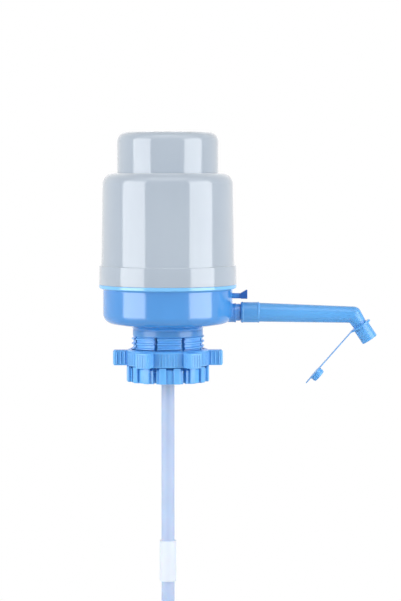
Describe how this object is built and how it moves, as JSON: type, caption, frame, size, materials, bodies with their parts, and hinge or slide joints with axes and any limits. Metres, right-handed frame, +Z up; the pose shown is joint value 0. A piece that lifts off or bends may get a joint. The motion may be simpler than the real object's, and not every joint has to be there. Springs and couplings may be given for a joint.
{
  "type": "water jug hand pump",
  "caption": "Press-to-pour pump for a wide bottle neck: sliding cap in a grey cover over a blue bowl, lobed clamp nut and slotted collet, side spout with strap plug, dip tube.",
  "frame": {"origin": "centre of the mouth seat, the underside of the neck gasket where the bottle's mouth seals", "axes": "+Z up along the pump's axis, +X along the spout, +Y to the back"},
  "size_m": [0.2722, 0.1346, 0.6587],
  "materials": {
    "grey_shell": "glossy moulded, cool light grey",
    "blue_shell": "glossy moulded, mid blue",
    "sky_plastic": "satin moulded, sky blue",
    "milky_plastic": "natural, slightly milky",
    "milky_tube": "translucent milky tube",
    "pale_rubber": "pale silicone",
    "dark_rubber": "dark rubber",
    "steel": "bright wire and screws"
  },
  "bodies": {
    "base": {"bellows": "pale_rubber", "return_spring": "steel", "bellows_ring": "blue_shell", "valve_deck": "milky_plastic", "deck_gasket": "dark_rubber", "deck_screws": "steel", "outer_cover": "grey_shell", "base_bowl": "blue_shell", "neck_gasket": "pale_rubber", "collet": "sky_plastic", "dip_tube_upper": "milky_tube", "tube_coupler": "milky_tube", "dip_tube_lower": "milky_tube", "nozzle_o_ring": "dark_rubber", "vent_spring": "steel", "vent_cage": "milky_plastic"},
    "press": {"press_cap": "grey_shell", "cap_screws": "steel", "bellows_plate": "milky_plastic"},
    "intake_valve": {"intake_valve": "dark_rubber"},
    "outlet_valve": {"outlet_valve": "dark_rubber"},
    "nut": {"clamp_nut": "sky_plastic"},
    "spout": {"spout": "sky_plastic", "spout_ring": "sky_plastic"},
    "strap_link": {"strap_link": "sky_plastic"},
    "plug": {"cap_strap": "sky_plastic", "spout_plug": "sky_plastic"},
    "vent": {"vent_stem": "blue_shell", "vent_seal": "dark_rubber"}
  },
  "joints": [
    {"name": "press_stroke", "type": "slide", "parent": "base", "child": "press", "axis": [0, 0, -1], "range_m": [0, 0.032], "stiffness_N_per_m": 150, "springref_m": -0.03, "deforming": ["bellows", "return_spring"]},
    {"name": "intake_lift", "type": "slide", "parent": "press", "child": "intake_valve", "axis": [0, 0, -1], "range_m": [0, 0.0012], "stiffness_N_per_m": 60, "springref_m": -0.001},
    {"name": "outlet_lift", "type": "slide", "parent": "base", "child": "outlet_valve", "axis": [0, 0, -1], "range_m": [0, 0.0012], "stiffness_N_per_m": 60, "springref_m": -0.001},
    {"name": "nut_travel", "type": "slide", "parent": "base", "child": "nut", "axis": [0, 0, 1], "range_m": [0, 0.0125]},
    {"name": "vent_push", "type": "slide", "parent": "base", "child": "vent", "axis": [-1, 0, 0], "range_m": [0, 0.0035], "stiffness_N_per_m": 250, "springref_m": -0.004, "deforming": ["vent_spring"]},
    {"name": "spout_swivel", "type": "hinge", "parent": "base", "child": "spout", "pos_m": [0.0714, 0, 0.0195], "axis": [1, 0, 0], "continuous": true},
    {"name": "strap_root", "type": "hinge", "parent": "spout", "child": "strap_link", "pos_m": [0.17934, 0, -0.0003], "axis": [0, -1, 0], "range_deg": [0, 29.92]},
    {"name": "strap_fold", "type": "hinge", "parent": "strap_link", "child": "plug", "pos_m": [0.16353, 0, -0.0183], "axis": [0, -1, 0], "range_deg": [0, 134.98]}
  ],
  "couplings": [
    {"joint": "strap_root", "follows": "strap_fold", "ratio": 0.22093}
  ]
}
